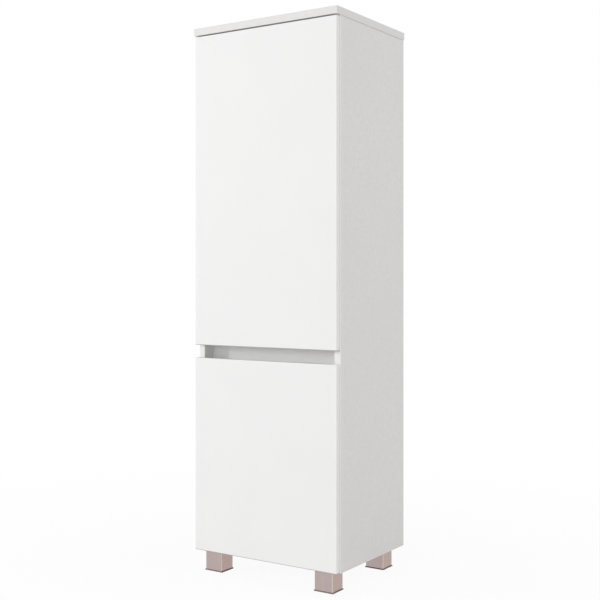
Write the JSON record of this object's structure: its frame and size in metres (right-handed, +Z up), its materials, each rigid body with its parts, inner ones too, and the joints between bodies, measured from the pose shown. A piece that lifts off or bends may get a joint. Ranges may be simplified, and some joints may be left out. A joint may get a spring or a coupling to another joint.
{
  "type": "bathroom cabinet",
  "caption": "Tall slim bathroom cabinet with flush doors above and below a finger recess, an overhanging top panel and square levelling feet.",
  "frame": {"origin": "middle of the footprint's bounding box, on the floor", "axes": "+Z up along the height; the doors face -Y; +X to the right as seen from the front"},
  "size_m": [0.405, 0.35, 1.35],
  "materials": {
    "side_panel": "white melamine with a fine pearl mottle, satin",
    "white_board": "white melamine, satin",
    "door_front": "white lacquer, satin",
    "back_sheet": "thin white fibreboard",
    "foot_metal": "satin nickel-chrome, warm tint",
    "nickel": "nickel plated",
    "dark_plastic": "moulded, matte",
    "dowel_wood": "raw beech",
    "bumper": "translucent soft polyurethane"
  },
  "bodies": {
    "carcass": {"side_left": "side_panel", "side_right": "side_panel", "top_panel": "white_board", "bottom_panel": "white_board", "upper_floor": "white_board", "lower_ceiling": "white_board", "grip_rail": "white_board", "back_panel": "back_sheet", "shelf_upper_high": "white_board", "shelf_upper_low": "white_board", "shelf_lower": "white_board", "shelf_pins": "nickel", "cam_nuts": "nickel", "cam_bolts": "nickel", "dowels": "dowel_wood", "wall_bracket": "nickel", "bracket_screws": "nickel", "foot_sleeve_fl": "foot_metal", "foot_sleeve_fr": "foot_metal", "foot_sleeve_rl": "foot_metal", "foot_sleeve_rr": "foot_metal", "foot_core_fl": "dark_plastic", "foot_core_fr": "dark_plastic", "foot_core_rl": "dark_plastic", "foot_core_rr": "dark_plastic", "foot_screws": "nickel", "upper_hinge_arms": "nickel", "lower_hinge_arms": "nickel", "upper_hinge_plates": "nickel", "lower_hinge_plates": "nickel", "plate_screws": "nickel", "arm_screws": "nickel"},
    "upper_door": {"upper_door": "door_front", "upper_hinge_cups": "nickel", "upper_cup_screws": "nickel", "upper_hinge_pins": "nickel", "upper_bumpers": "bumper"},
    "lower_door": {"lower_door": "door_front", "lower_hinge_cups": "nickel", "lower_cup_screws": "nickel", "lower_hinge_pins": "nickel", "lower_bumpers": "bumper"},
    "pad_fl": {"foot_pad_fl": "dark_plastic"},
    "spindle_fl": {"spindle_fl": "nickel"},
    "pad_fr": {"foot_pad_fr": "dark_plastic"},
    "spindle_fr": {"spindle_fr": "nickel"},
    "pad_rl": {"foot_pad_rl": "dark_plastic"},
    "spindle_rl": {"spindle_rl": "nickel"},
    "pad_rr": {"foot_pad_rr": "dark_plastic"},
    "spindle_rr": {"spindle_rr": "nickel"}
  },
  "joints": [
    {"name": "upper_door_hinge", "type": "hinge", "parent": "carcass", "child": "upper_door", "pos_m": [-0.19381, -0.16575, 0.9455], "axis": [0, 0, -1], "range_deg": [0, 95]},
    {"name": "lower_door_hinge", "type": "hinge", "parent": "carcass", "child": "lower_door", "pos_m": [-0.19381, -0.16575, 0.291], "axis": [0, 0, -1], "range_deg": [0, 95]},
    {"name": "level_fl", "type": "slide", "parent": "carcass", "child": "pad_fl", "axis": [0, 0, -1], "range_m": [0, 0.006]},
    {"name": "turn_fl", "type": "hinge", "parent": "pad_fl", "child": "spindle_fl", "pos_m": [-0.156, -0.131, 0.03], "axis": [0, 0, -1], "range_deg": [0, 1440.1]},
    {"name": "level_fr", "type": "slide", "parent": "carcass", "child": "pad_fr", "axis": [0, 0, -1], "range_m": [0, 0.006]},
    {"name": "turn_fr", "type": "hinge", "parent": "pad_fr", "child": "spindle_fr", "pos_m": [0.156, -0.131, 0.03], "axis": [0, 0, -1], "range_deg": [0, 1440.1]},
    {"name": "level_rl", "type": "slide", "parent": "carcass", "child": "pad_rl", "axis": [0, 0, -1], "range_m": [0, 0.006]},
    {"name": "turn_rl", "type": "hinge", "parent": "pad_rl", "child": "spindle_rl", "pos_m": [-0.156, 0.125, 0.03], "axis": [0, 0, -1], "range_deg": [0, 1440.1]},
    {"name": "level_rr", "type": "slide", "parent": "carcass", "child": "pad_rr", "axis": [0, 0, -1], "range_m": [0, 0.006]},
    {"name": "turn_rr", "type": "hinge", "parent": "pad_rr", "child": "spindle_rr", "pos_m": [0.156, 0.125, 0.03], "axis": [0, 0, -1], "range_deg": [0, 1440.1]}
  ],
  "couplings": [
    {"joint": "turn_fl", "follows": "level_fl", "rad_per_m": 4188.8},
    {"joint": "turn_fr", "follows": "level_fr", "rad_per_m": 4188.8},
    {"joint": "turn_rl", "follows": "level_rl", "rad_per_m": 4188.8},
    {"joint": "turn_rr", "follows": "level_rr", "rad_per_m": 4188.8}
  ]
}
